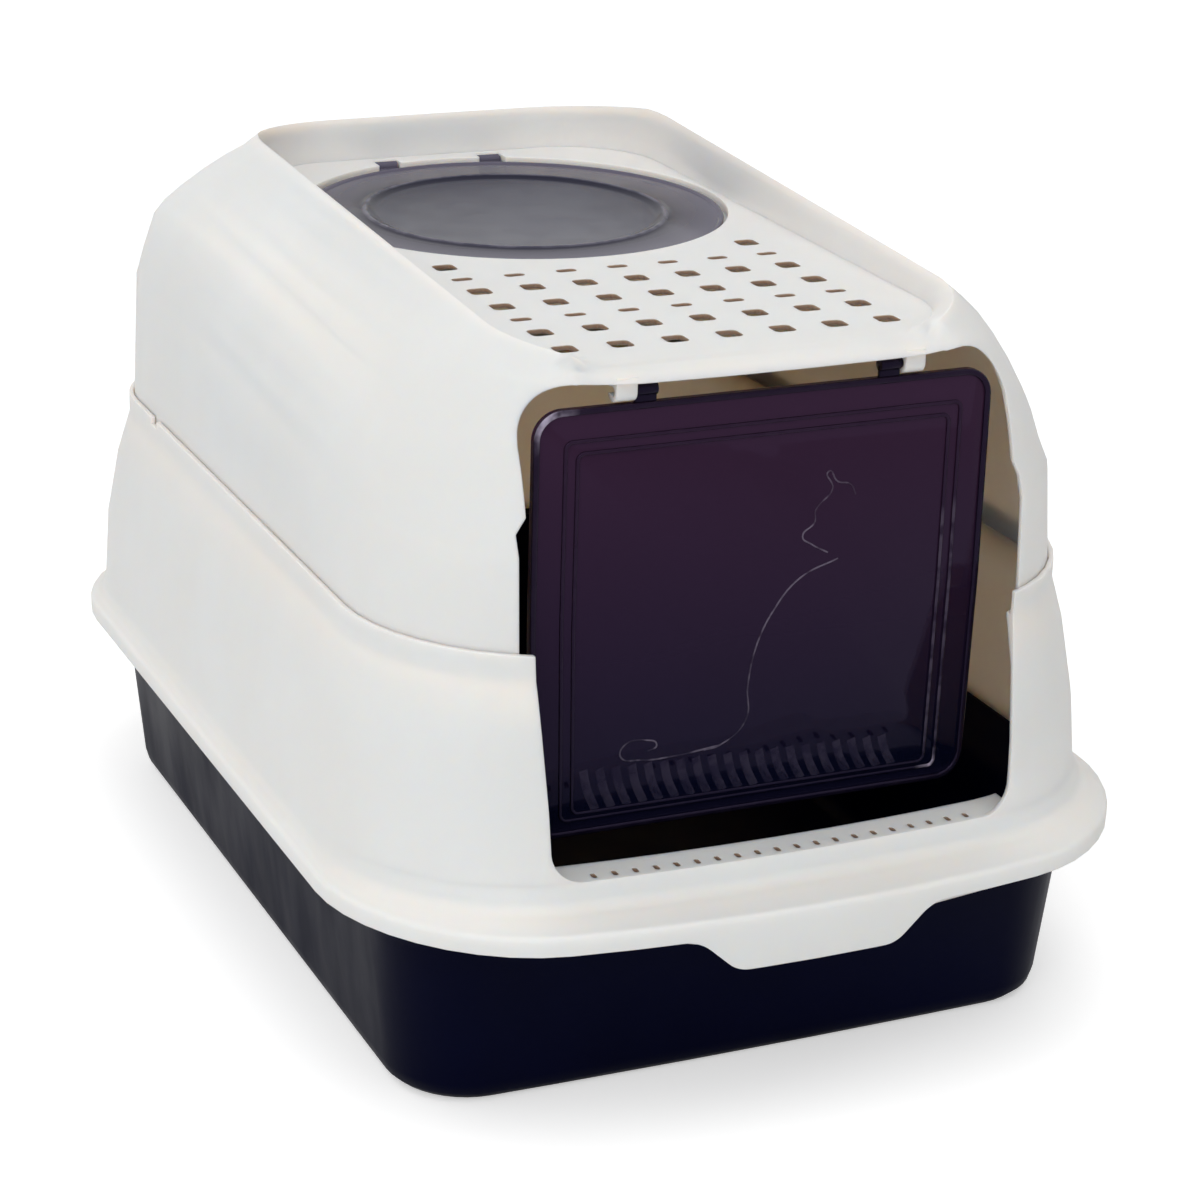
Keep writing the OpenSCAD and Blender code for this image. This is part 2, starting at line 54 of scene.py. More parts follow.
# Grey values that faces or points carry for the finishes: painted shade on the walls of small
# holes, painted shade on raised lines and lugs, and painted highlights
PAINTED_HOLE_SHADE = "painted_hole_shade"
PAINTED_SHADE = "painted_shade"
GLINT = "glint"

# Places of the colour sockets on a mix node
MIX_FIRST, MIX_SECOND, MIX_RESULT = 6, 7, 2

# Distances in metres below which points are merged
CURVE_WELD = 1e-7
CUT_WELD = 1e-6


class Slot(Enum):
    """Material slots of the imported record."""

    PAN = "pan_plastic"
    HOOD = "hood_plastic"
    SMOKED = "smoked_plastic"


class NodeTree:
    """Short way to add and join the nodes of a material or of the world."""

    def __init__(self, owner: bpy.types.Material | bpy.types.World) -> None:
        """Starts with no nodes but the coordinates.

        Args:
            owner: the material or the world.
        """
        owner.use_nodes = True
        self.owner = owner
        self.tree = owner.node_tree
        self.tree.nodes.clear()
        self.coordinates = self.add("ShaderNodeTexCoord").outputs
        self.place = self.coordinates["Object"]

    def add(self, kind: str, **settings: object) -> bpy.types.Node:
        """Adds a node and sets its properties.

        Args:
            kind: Blender's name of the node type.
            settings: properties of the node.

        Returns:
            The new node.
        """
        node = self.tree.nodes.new(kind)
        for key, value in settings.items():
            setattr(node, key, value)
        return node

    def join(self, source: bpy.types.NodeSocket, target: bpy.types.NodeSocket) -> None:
        """Links one socket to another."""
        self.tree.links.new(source, target)

    def noise(self, size: float, detail: float,
              stretch: tuple[float, float, float] | None = None) -> bpy.types.NodeSocket:
        """Adds a noise whose blotches are about as large as given.

        Args:
            size: size of one blotch in metres.
            detail: octaves of finer noise.
            stretch: factors on the place before the noise reads it.

        Returns:
            The noise's grey value.
        """
        place = self.place
        if stretch is not None:
            mapping = self.add("ShaderNodeMapping")
            mapping.inputs["Scale"].default_value = stretch
            self.join(place, mapping.inputs["Vector"])
            place = mapping.outputs["Vector"]
        noise = self.add("ShaderNodeTexNoise")
        noise.inputs["Scale"].default_value = 1.0 / size
        noise.inputs["Detail"].default_value = detail
        self.join(place, noise.inputs["Vector"])
        return noise.outputs["Fac"]

    def spread(self, value: bpy.types.NodeSocket, low: float, high: float,
               start: float = 0.35, end: float = 0.65) -> bpy.types.NodeSocket:
        """Maps a grey value onto a range.

        Args:
            value: the value to map.
            low: result where the value is at start.
            high: result where the value is at end.
            start: lower end of what is read.
            end: upper end of what is read.

        Returns:
            The mapped value.
        """
        spread = self.add("ShaderNodeMapRange")
        numbers = {"From Min": start, "From Max": end, "To Min": low, "To Max": high}
        for name, number in numbers.items():
            spread.inputs[name].default_value = number
        self.join(value, spread.inputs["Value"])
        return spread.outputs["Result"]

    def attribute(self, name: str) -> bpy.types.NodeSocket:
        """Reads a grey value that the piece's points carry.

        Args:
            name: name of the attribute.

        Returns:
            The value.
        """
        return self.add("ShaderNodeAttribute", attribute_name=name).outputs["Fac"]

    def combine(self, operation: str, first: bpy.types.NodeSocket,
                second: bpy.types.NodeSocket) -> bpy.types.NodeSocket:
        """Works out one value from two.

        Args:
            operation: Blender's name of the sum.
            first: the first value.
            second: the second value.

        Returns:
            The result.
        """
        node = self.add("ShaderNodeMath", operation=operation)
        self.join(first, node.inputs[0])
        self.join(second, node.inputs[1])
        return node.outputs["Value"]

    def broken(self, value: bpy.types.NodeSocket, size: float) -> bpy.types.NodeSocket:
        """Breaks a grey value up in patches.

        Args:
            value: the value.
            size: size of one patch in metres.

        Returns:
            The value, lower in about half of the patches.
        """
        patches = self.spread(self.noise(size, detail=2.0), low=0.15, high=1.0, start=0.4, end=0.6)
        return self.combine("MULTIPLY", value, patches)

    def away_from(self, centre: tuple[float, float, float],
                  keep: tuple[float, float, float]) -> bpy.types.NodeSocket:
        """Measures the distance of each place from a point or a line.

        Args:
            centre: the point.
            keep: factors on the three directions, 0 where a direction doesn't count.

        Returns:
            The distance in metres.
        """
        mapping = self.add("ShaderNodeMapping")
        mapping.inputs["Location"].default_value = [-c * k for c, k in zip(centre, keep)]
        mapping.inputs["Scale"].default_value = keep
        self.join(self.place, mapping.inputs["Vector"])
        length = self.add("ShaderNodeVectorMath", operation="LENGTH")
        self.join(mapping.outputs["Vector"], length.inputs[0])
        return length.outputs["Value"]

    def blend(self, factor: bpy.types.NodeSocket, first: object,
              second: object) -> bpy.types.NodeSocket:
        """Mixes two colours, each given as numbers or as a socket.

        Args:
            factor: share of the second colour.
            first: colour at a factor of 0.
            second: colour at a factor of 1.

        Returns:
            The mixed colour.
        """
        mix = self.add("ShaderNodeMix", data_type="RGBA")
        self.join(factor, mix.inputs["Factor"])
        for place, colour in ((MIX_FIRST, first), (MIX_SECOND, second)):
            socket = mix.inputs[place]
            if isinstance(colour, bpy.types.NodeSocket):
                self.join(colour, socket)
            else:
                socket.default_value = (*colour, 1.0)
        return mix.outputs[MIX_RESULT]

    def bump(self, height: bpy.types.NodeSocket, depth: float,
             normal: bpy.types.NodeSocket | None = None) -> bpy.types.NodeSocket:
        """Adds a bump.

        Args:
            height: grey value that stands for the height.
            depth: height in metres of the value 1.
            normal: normal that the bump starts from.

        Returns:
            The bumped normal.
        """
        bump = self.add("ShaderNodeBump")
        bump.inputs["Strength"].default_value = 1.0
        bump.inputs["Distance"].default_value = depth
        self.join(height, bump.inputs["Height"])
        if normal is not None:
            self.join(normal, bump.inputs["Normal"])
        return bump.outputs["Normal"]

    def surface(self, **constants: object) -> bpy.types.Node:
        """Adds the shader and the output.

        Args:
            constants: values of the shader's own sockets.

        Returns:
            The shader.
        """
        shader = self.add("ShaderNodeBsdfPrincipled")
        for name, value in constants.items():
            shader.inputs[name.replace("_", " ")].default_value = value
        output = self.add("ShaderNodeOutputMaterial")
        self.join(shader.outputs["BSDF"], output.inputs["Surface"])
        return shader


@dataclass(frozen=True)
class MouldedPlastic:
    """Moulded plastic with a fine grain, slow ripples and rubbed edges, which may let light in.

    Sizes are in metres. The walls of small holes take a darker colour as painted shade, and glow is
    the share of light that goes through the wall, as far as glow_depth for red, green and blue.
    """

    name: str
    colour: tuple[float, float, float]
    shade: tuple[float, float, float]
    edge: tuple[float, float, float]
    roughness: float
    spread: float
    grain: float
    grain_depth: float
    ripple: float
    ripple_depth: float
    edge_width: float = 0.0009
    blotch: float = 0.09
    smear: float = 0.03
    smear_stretch: tuple[float, float, float] = (1.0, 1.0, 0.35)
    rub: float = 0.012
    ior: float = 1.49
    painted_hole_shade: tuple[float, float, float] = (0.0, 0.0, 0.0)
    glow: float = 0.0
    glow_depth: tuple[float, float, float] = (0.012, 0.0085, 0.006)

    def material(self) -> bpy.types.Material:
        """Builds the material.

        Returns:
            The new material.
        """
        tree = NodeTree(bpy.data.materials.new(self.name))
        blotch = tree.spread(tree.noise(self.blotch, detail=3.0), 0.0, 1.0)
        body = tree.blend(blotch, self.colour, self.shade)
        # Painted shade on the walls of small holes
        body = tree.blend(tree.attribute(PAINTED_HOLE_SHADE), body, self.painted_hole_shade)
        worn = self.edge_mask(tree)
        shader = tree.surface(IOR=self.ior, Subsurface_Weight=self.glow, Subsurface_Scale=1.0,
                              Subsurface_Radius=self.glow_depth)
        tree.join(tree.blend(worn["mask"], body, self.edge), shader.inputs["Base Color"])
        smear = tree.noise(self.smear, detail=4.0, stretch=self.smear_stretch)
        rough = tree.spread(smear, self.roughness - self.spread, self.roughness + self.spread)
        tree.join(rough, shader.inputs["Roughness"])
        slow = tree.bump(tree.noise(self.ripple, detail=1.0), self.ripple_depth, worn["normal"])
        fine = tree.bump(tree.noise(self.grain, detail=1.0), self.grain_depth, slow)
        tree.join(fine, shader.inputs["Normal"])
        return tree.owner

    def edge_mask(self, tree: NodeTree) -> dict[str, bpy.types.NodeSocket]:
        """Finds the edges, rounds them in the shading and breaks the wear up with noise.

        Args:
            tree: material under construction.

        Returns:
            The wear mask and the rounded normal.
        """
        rounded = tree.add("ShaderNodeBevel", samples=4)
        rounded.inputs["Radius"].default_value = self.edge_width
        flat = tree.add("ShaderNodeNewGeometry")
        match = tree.add("ShaderNodeVectorMath", operation="DOT_PRODUCT")
        tree.join(rounded.outputs["Normal"], match.inputs[0])
        tree.join(flat.outputs["Normal"], match.inputs[1])
        near = tree.spread(match.outputs["Value"], low=1.0, high=0.0, start=0.8, end=0.99)
        patches = tree.spread(tree.noise(self.rub, detail=3.0), low=0.25, high=1.0)
        mask = tree.combine("MULTIPLY", near, patches)
        return {"mask": mask, "normal": rounded.outputs["Normal"]}


@dataclass(frozen=True)
class SmokedPlastic:
    """Clear plastic tinted dark, glossy, with faint flow marks, fine scratches and relief lines.

    Sizes are in metres. One colour paints shade on raised lines and lugs, the glint colour paints
    highlights and reflections, and clear is the share of light that goes straight through.
    """

    name: str
    colour: tuple[float, float, float]
    shade: tuple[float, float, float]
    painted_shade: tuple[float, float, float]
    glint: tuple[float, float, float]
    roughness: float
    clear: float
    ior: float = 1.22
    mirror_tint: tuple[float, float, float, float] = (1.0, 1.0, 1.0, 1.0)
    flow: float = 0.11
    flow_stretch: tuple[float, float, float] = (1.0, 1.0, 0.6)
    glint_patch: float = 0.008
    haze: float = 0.02
    haze_range: tuple[float, float] = (0.8, 1.5)
    wave: float = 0.05
    wave_depth: float = 0.00012
    scratch: float = 0.0009
    scratch_stretch: tuple[float, float, float] = (1.0, 1.0, 0.1)
    scratch_depth: float = 0.000003

    def body(self, tree: NodeTree) -> bpy.types.NodeSocket:
        """Tints the plastic.

        Args:
            tree: material under construction.

        Returns:
            The colour without the relief lines.
        """
        flow = tree.noise(self.flow, detail=2.0, stretch=self.flow_stretch)
        return tree.blend(tree.spread(flow, 0.0, 1.0), self.colour, self.shade)

    def material(self) -> bpy.types.Material:
        """Builds the material.

        Returns:
            The new material.
        """
        tree = NodeTree(bpy.data.materials.new(self.name))
        body = self.body(tree)
        shader = tree.surface(IOR=self.ior, Transmission_Weight=self.clear,
                              Specular_Tint=self.mirror_tint)
        # Painted shade on raised lines and lugs, then painted highlights and reflections in patches
        lined = tree.blend(tree.attribute(PAINTED_SHADE), body, self.painted_shade)
        lit = tree.broken(tree.attribute(GLINT), self.glint_patch)
        tree.join(tree.blend(lit, lined, self.glint), shader.inputs["Base Color"])
        low, high = (self.roughness * share for share in self.haze_range)
        haze = tree.spread(tree.noise(self.haze, detail=5.0), low, high)
        tree.join(haze, shader.inputs["Roughness"])
        slow = tree.bump(tree.noise(self.wave, detail=0.0), self.wave_depth)
        scratch = tree.noise(self.scratch, detail=2.0, stretch=self.scratch_stretch)
        tree.join(tree.bump(scratch, self.scratch_depth, slow), shader.inputs["Normal"])
        return tree.owner


@dataclass(frozen=True)
class DoorPlastic(SmokedPlastic):
    """The door's smoked plastic, with painted light: a warmer violet towards its top and paler at
    its very foot.
    """

    # Colours of the painted light towards the top and in the band at the foot
    top: tuple[float, float, float] = (0.0, 0.0, 0.0)
    foot: tuple[float, float, float] = (0.0, 0.0, 0.0)
    foot_z: float = 0.1345
    foot_blend: float = 0.003
    low_z: float = 0.15
    high_z: float = 0.34

    def body(self, tree: NodeTree) -> bpy.types.NodeSocket:
        """Tints the plastic and paints light on it from the bottom up.

        Args:
            tree: material under construction.

        Returns:
            The colour without the relief lines.
        """
        split = tree.add("ShaderNodeSeparateXYZ")
        tree.join(tree.place, split.inputs["Vector"])
        rise = tree.spread(split.outputs["Z"], 0.0, 1.0, self.low_z, self.high_z)
        foot = tree.spread(split.outputs["Z"], 1.0, 0.0, self.foot_z, self.foot_z + self.foot_blend)
        return tree.blend(foot, tree.blend(rise, super().body(tree), self.top), self.foot)


@dataclass(frozen=True)
class LidPlastic(SmokedPlastic):
    """The lid's smoked plastic, with a painted pale band where the pale ledge lies under it."""

    band: tuple[float, float, float] = (0.0, 0.0, 0.0)
    centre: tuple[float, float, float] = (0.0, 0.0, 0.0)
    band_from: float = 0.080
    band_to: float = 0.092

    def body(self, tree: NodeTree) -> bpy.types.NodeSocket:
        """Tints the plastic and paints the pale band from the middle out.

        Args:
            tree: material under construction.

        Returns:
            The colour without the relief lines.
        """
        away = tree.away_from(self.centre, keep=(1.0, 1.0, 0.0))
        out = tree.spread(away, 0.0, 1.0, self.band_from, self.band_to)
        return tree.blend(out, super().body(tree), self.band)


# The hood's colour for the walls of small holes is painted shade
HOOD_FINISH = MouldedPlastic(
    name="hood_cream", colour=(0.885, 0.80, 0.745), shade=(0.865, 0.775, 0.715),
    edge=(0.90, 0.84, 0.79), painted_hole_shade=(0.30, 0.22, 0.17), roughness=0.40, spread=0.05,
    grain=0.0011, grain_depth=0.000018, ripple=0.06, ripple_depth=0.0004, glow=0.75)
PAN_FINISH = MouldedPlastic(
    name="pan_navy", colour=(0.0004, 0.0009, 0.0105), shade=(0.0008, 0.0014, 0.0135),
    edge=(0.010, 0.011, 0.03), roughness=0.34, spread=0.06,
    grain=0.0013, grain_depth=0.00002, ripple=0.07, ripple_depth=0.0004, ior=1.11)
# The door's top and foot colours are painted light, its dark line colour painted shade and its
# glint colour painted highlights and reflections
DOOR_FINISH = DoorPlastic(
    name="door_smoke", colour=(0.0034, 0.0042, 0.0165), shade=(0.0026, 0.0034, 0.0140),
    top=(0.034, 0.0125, 0.031), foot=(0.007, 0.0065, 0.022), painted_shade=(0.004, 0.0025, 0.009),
    glint=(0.42, 0.37, 0.48), roughness=0.03, clear=0.2, ior=1.27,
    mirror_tint=(0.62, 0.48, 0.95, 1.0))
# The lid's band colour is painted light of the ledge under it, its dark line colour painted shade
# and its glint colour a painted highlight
LID_FINISH = LidPlastic(
    name="lid_smoke", colour=(0.030, 0.031, 0.064), shade=(0.022, 0.023, 0.050),
    band=(0.135, 0.126, 0.175), painted_shade=(0.016, 0.015, 0.026), glint=(0.22, 0.21, 0.26),
    centre=(0.0, 0.0938, 0.0), roughness=0.13, clear=0.2, ior=1.16,
    mirror_tint=(0.85, 0.82, 1.0, 1.0))

# Boxes in metres, by their low and high corners, round the slots of the sill and the vents, whose
# walls get a painted shade
SILL_HOLES = (((-0.11, -0.30, 0.111), (0.11, -0.23, 0.126)),)
ROOF_HOLES = (((-0.1, -0.2, 0.3553), (0.1, 0.0, 0.3581)),)


def once(items: Iterable) -> list:
    """Lists each item once, in the same order at every run, which a set would not keep."""
    return list(dict.fromkeys(items))


class Mould:
    """A bmesh with the few shapes that the door and the lid are made of.

    Edges of a rod that turn by more than RIM_ANGLE, in radians, are its rims.
    """

    LINE_ROUNDING = 2
    LINE_STEPS = 8
    ROD_STEPS = 40
    RIM_ANGLE = 1.0

    def __init__(self) -> None:
        """Starts empty."""
        self.mesh = bmesh.new()
        self.marks = {name: self.mesh.verts.layers.float.new(name) for name in (PAINTED_SHADE, GLINT)}

    def mark(self, name: str, verts: list, value: float = 1.0) -> None:
        """Writes a grey value on points for the finish to read."""
        for vert in verts:
            vert[self.marks[name]] = value

    def shell_of(self, faces: list) -> list:
        """Collects the points of the body that faces belong to.

        Args:
            faces: some faces of one body.

        Returns:
            All points linked to them.
        """
        found = once(v for f in faces for v in f.verts)
        known = set(found)
        for vert in found:
            near = [v for v in (e.other_vert(vert) for e in vert.link_edges) if v not in known]
            known.update(near)
            found.extend(near)
        return found

    def line(self, points: list[tuple[float, float]], radius: float, rise: float,
             front: float, name: str, value: float) -> None:
        """Adds a raised line on an upright plane.

        Args:
            points: X and Z of its points.
            radius: half its width.
            rise: how far it stands up.
            front: Y of the plane.
            name: mark that its points carry.
            value: the mark's value.
        """
        curve = bpy.data.curves.new("line", "CURVE")
        curve.dimensions, curve.use_fill_caps = "3D", True
        curve.bevel_depth, curve.bevel_resolution = radius, self.LINE_ROUNDING
        curve.resolution_u = self.LINE_STEPS
        spline = curve.splines.new("BEZIER")
        spline.bezier_points.add(len(points) - 1)
        for knot, (x, z) in zip(spline.bezier_points, points):
            knot.co = (x, 0, z)
            knot.handle_left_type = knot.handle_right_type = "AUTO"
        holder = bpy.data.objects.new("line", curve)
        drawn = bpy.data.meshes.new_from_object(holder)
        before = set(self.mesh.verts)
        self.mesh.from_mesh(drawn)
        fresh = [v for v in self.mesh.verts if v not in before]
        bmesh.ops.remove_doubles(self.mesh, verts=fresh, dist=CURVE_WELD)
        fresh = [v for v in self.mesh.verts if v not in before]
        bmesh.ops.scale(self.mesh, vec=(1, rise / radius, 1), verts=fresh)
        self.place(fresh, move=(0, front, 0))
        self.mark(name, fresh, value)
        bpy.data.objects.remove(holder)
        bpy.data.curves.remove(curve)
        bpy.data.meshes.remove(drawn)

    def place(self, verts: list, move: tuple = (0, 0, 0), turn: tuple | None = None) -> None:
        """Turns new points about the origin, then moves them.

        Args:
            verts: the points.
            move: where the origin goes.
            turn: angle in degrees and axis name.
        """
        if turn is not None:
            bmesh.ops.rotate(self.mesh, verts=verts, cent=(0, 0, 0),
                             matrix=Matrix.Rotation(math.radians(turn[0]), 3, turn[1]))
        bmesh.ops.translate(self.mesh, verts=verts, vec=move)

    def divide(self, longer: float, cuts: int) -> None:
        """Cuts long edges up, so that marks on their ends stay near them.

        Args:
            longer: length above which an edge is cut.
            cuts: cuts in each.
        """
        edges = [e for e in self.mesh.edges if e.calc_length() > longer]
        bmesh.ops.subdivide_edges(self.mesh, edges=edges, cuts=cuts, use_grid_fill=True)

    def soften(self, edges: list, width: float, segments: int = 3) -> None:
        """Rounds edges."""
        bmesh.ops.bevel(self.mesh, geom=edges, offset=width, offset_type="OFFSET",
                        segments=segments, profile=0.5, affect="EDGES", material=-1,
                        clamp_overlap=True)

    def sheet(self, width: float, height: float, radius: float,
              steps: int = 14) -> bmesh.types.BMFace:
        """Adds an upright face with rounded corners about the origin, looking to the front.

        Args:
            width: size along X.
            height: size along Z.
            radius: corner radius.
            steps: segments of each corner.

        Returns:
            The face.
        """
        verts = bmesh.ops.create_grid(self.mesh, x_segments=1, y_segments=1, size=0.5)["verts"]
        bmesh.ops.scale(self.mesh, vec=(width, height, 1), verts=verts)
        self.place(verts, turn=(90, "X"))
        done = bmesh.ops.bevel(self.mesh, geom=verts, offset=radius, offset_type="OFFSET",
                               segments=steps, profile=0.5, affect="VERTICES", material=-1,
                               clamp_overlap=True)
        return max({f for v in done["verts"] for f in v.link_faces}, key=lambda f: f.calc_area())

    def thicken(self, faces: list, depth: float) -> list:
        """Pushes a copy of faces to the front and closes the sides.

        Args:
            faces: flat faces that look to the front.
            depth: how far the copies go.

        Returns:
            The copied faces.
        """
        raised = bmesh.ops.extrude_face_region(self.mesh, geom=faces, use_keep_orig=True)["geom"]
        verts = [g for g in raised if isinstance(g, bmesh.types.BMVert)]
        bmesh.ops.translate(self.mesh, verts=verts, vec=(0, -depth, 0))
        for face in faces:
            face.normal_flip()
        return [g for g in raised if isinstance(g, bmesh.types.BMFace)]

    def bar(self, size: tuple, centre: tuple, round_to: float) -> None:
        """Adds a block with rounded edges.

        Args:
            size: its three sides.
            centre: its middle.
            round_to: radius of its edges.
        """
        verts = bmesh.ops.create_cube(self.mesh, size=1.0)["verts"]
        bmesh.ops.scale(self.mesh, vec=size, verts=verts)
        self.place(verts, move=centre)
        self.soften(once(e for v in verts for e in v.link_edges), round_to)

    def rod(self, radius: float, length: float, centre: tuple, round_to: float) -> None:
        """Adds a round rod along X with rounded ends.

        Args:
            radius: its radius.
            length: its length.
            centre: its middle.
            round_to: radius of its rims.
        """
        verts = bmesh.ops.create_cone(self.mesh, cap_ends=True, segments=self.ROD_STEPS,
                                      radius1=radius, radius2=radius, depth=length)["verts"]
        self.place(verts, move=centre, turn=(90, "Y"))
        edges = once(e for v in verts for e in v.link_edges)
        rims = [e for e in edges if e.calc_face_angle(0) > self.RIM_ANGLE]
        self.soften(rims, round_to, 2)

    def turned(self, profile: list[tuple[float, float]], centre: tuple,
               steps: int = 144) -> None:
        """Adds a body turned about an upright axis.

        Args:
            profile: radius and height of each point, with both ends on the axis.
            centre: foot of the axis.
            steps: segments of the full turn.
        """
        verts = [self.mesh.verts.new((r, 0, z)) for r, z in profile]
        edges = [self.mesh.edges.new(pair) for pair in zip(verts, verts[1:])]
        bmesh.ops.spin(self.mesh, geom=verts + edges, cent=(0, 0, 0), axis=(0, 0, 1),
                       angle=math.tau, steps=steps, use_merge=True)
        bmesh.ops.remove_doubles(self.mesh, verts=self.mesh.verts[:], dist=CUT_WELD)
        self.place(self.mesh.verts[:], move=centre)

    def piece(self, name: str, sharp: float = 40.0) -> bpy.types.Object:
        """Closes the bmesh into an object.

        Args:
            name: name of the piece.
            sharp: angle in degrees above which an edge stays sharp in the shading.

        Returns:
            The new object, linked to the scene.
        """
        bmesh.ops.recalc_face_normals(self.mesh, faces=self.mesh.faces[:])
        return finish_piece(self.mesh, name, sharp)


def finish_piece(mesh: bmesh.types.BMesh, name: str, sharp: float) -> bpy.types.Object:
    """Shades a bmesh smooth up to an angle and makes it an object.

    Args:
        mesh: the bmesh, which is freed.
        name: name of the piece.
        sharp: angle in degrees above which an edge stays sharp.

    Returns:
        The new object, linked to the scene.
    """
    limit = math.radians(sharp)
    for face in mesh.faces:
        face.smooth = True
    for edge in mesh.edges:
        edge.smooth = edge.calc_face_angle(0.0) < limit
    data = bpy.data.meshes.new(name)
    mesh.to_mesh(data)
    mesh.free()
    piece = bpy.data.objects.new(name, data)
    bpy.context.scene.collection.objects.link(piece)
    return piece


def dress(piece: bpy.types.Object, finish: bpy.types.Material, body: str,
          node: str | None = None) -> None:
    """Gives a piece its finish and its body, and lets it stand for a node.

    Args:
        piece: the piece.
        finish: its material.
        body: the body that carries it.
        node: the node that it replaces.
    """
    piece.data.materials.clear()
    piece.data.materials.append(finish)
    if node is not None:
        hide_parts(node)
    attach(piece, body)
    log.info("%s: %d faces, rides on %s", piece.name, len(piece.data.polygons), body)


@dataclass(frozen=True)
class TabEnd:
    """The slanted ends of the grip tab, whose two corners are eased into an S.

    root and foot are the corners' X and Z in metres. The other lengths tell which points of the
    shell lie on the tab's lower edge.
    """

    root: tuple[float, float] = (0.062, 0.103)
    foot: tuple[float, float] = (0.042, 0.085)
    root_radius: float = 0.020
    foot_radius: float = 0.016
    front: float = -0.28
    reach: float = 0.1115
    near: float = 0.0003
    steps: int = 8

    @property
    def spans(self) -> tuple[tuple[float, float], tuple[float, float]]:
        """Where the rounding of the root and of the foot starts and ends, from the middle out."""
        slant = math.atan2(self.root[1] - self.foot[1], self.root[0] - self.foot[0])
        root, foot = (r * math.tan(slant / 2) for r in (self.root_radius, self.foot_radius))
        return ((self.root[0] - root * math.cos(slant), self.root[0] + root),
                (self.foot[0] - foot, self.foot[0] + foot * math.cos(slant)))

    def straight(self, x: float) -> float:
        """Finds the height of the lower edge with sharp corners.

        Args:
            x: distance from the middle.

        Returns:
            The height.
        """
        share = (x - self.foot[0]) / (self.root[0] - self.foot[0])
        return self.foot[1] + (self.root[1] - self.foot[1]) * min(max(share, 0.0), 1.0)

    def eased(self, x: float) -> float:
        """Finds the height of the lower edge with round corners.

        Args:
            x: distance from the middle.

        Returns:
            The height.
        """
        (root_from, root_to), (foot_from, foot_to) = self.spans
        if root_from < x < root_to:
            arc = math.sqrt(self.root_radius ** 2 - (root_to - x) ** 2)
            return self.root[1] - self.root_radius + arc
        if foot_from < x < foot_to:
            arc = math.sqrt(self.foot_radius ** 2 - (x - foot_from) ** 2)
            return self.foot[1] + self.foot_radius - arc
        return self.straight(x)

    def cut(self, mesh: bmesh.types.BMesh, x: float) -> None:
        """Cuts the faces round the lower edge at one place.

        Args:
            mesh: the lower hood's mesh.
            x: the place.
        """
        faces = [f for f in mesh.faces
                 if all(v.co.y < self.front and v.co.z < self.reach for v in f.verts)
                 and any(v.co.z < self.root[1] + self.near for v in f.verts)]
        edges = once(e for f in faces for e in f.edges)
        verts = once(v for f in faces for v in f.verts)
        bmesh.ops.bisect_plane(mesh, geom=[*verts, *edges, *faces], dist=CUT_WELD,
                               plane_co=(x, 0.0, 0.0), plane_no=(1.0, 0.0, 0.0))

    def soften(self, mesh: bmesh.types.BMesh) -> None:
        """Cuts both ends of the tab into strips and eases their lower edge.

        Args:
            mesh: the lower hood's mesh.
        """
        for side in (-1.0, 1.0):
            for low, high in self.spans:
                for step in range(self.steps + 1):
                    self.cut(mesh, side * (low + (high - low) * step / self.steps))
        outermost, innermost = self.spans[0][1], self.spans[1][0]
        for vert in mesh.verts:
            x = abs(vert.co.x)
            on_edge = abs(vert.co.z - self.straight(x)) < self.near
            if vert.co.y < self.front and innermost < x < outermost and on_edge:
                vert.co.z = self.eased(x)


@dataclass
class MouldedShell:
    """A shell whose shape is the frame's own, merged and shaded smooth.

    sharp and flat are angles in degrees: above sharp an edge stays sharp, below flat faces are
    merged. hole_wall is the largest area in square metres of a wall of a small hole, and level
    the most that its normal may point up or down.
    """

    node: str
    piece_name: str
    slot: Slot
    finish: MouldedPlastic
    sharp: float = 42.0
    flat: float = 0.4
    weld: float = 0.00001
    holes: tuple = ()
    hole_wall: float = 0.000035
    level: float = 0.5
    margin: float = 0.00001
    tab: TabEnd | None = None

    def build(self) -> bpy.types.Object:
        """Copies the node's mesh, welds it and shades it smooth.

        Returns:
            The new piece.
        """
        mesh = bmesh.new()
        mesh.from_mesh(bpy.data.objects[self.node].data)
        bmesh.ops.remove_doubles(mesh, verts=mesh.verts[:], dist=self.weld)
        bmesh.ops.dissolve_limit(mesh, angle_limit=math.radians(self.flat),
                                 use_dissolve_boundaries=False,
                                 verts=mesh.verts[:], edges=mesh.edges[:])
        if self.tab is not None:
            self.tab.soften(mesh)
        self.paint_hole_shade(mesh)
        return finish_piece(mesh, self.piece_name, self.sharp)

    def paint_hole_shade(self, mesh: bmesh.types.BMesh) -> None:
        """Marks the upright walls of small holes for a painted shade.

        Args:
            mesh: the shell's mesh.
        """
        mark = mesh.faces.layers.float.new(PAINTED_HOLE_SHADE)
        for face in mesh.faces:
            if abs(face.normal.z) > self.level or face.calc_area() > self.hole_wall:
                continue
            for low, high in self.holes:
                if all(a - self.margin <= c <= b + self.margin
                       for v in face.verts for a, c, b in zip(low, v.co, high)):
                    face[mark] = 1.0

    def make(self) -> None:
        """Builds and dresses the shell."""
        dress(self.build(), self.finish.material(), self.node, self.node)


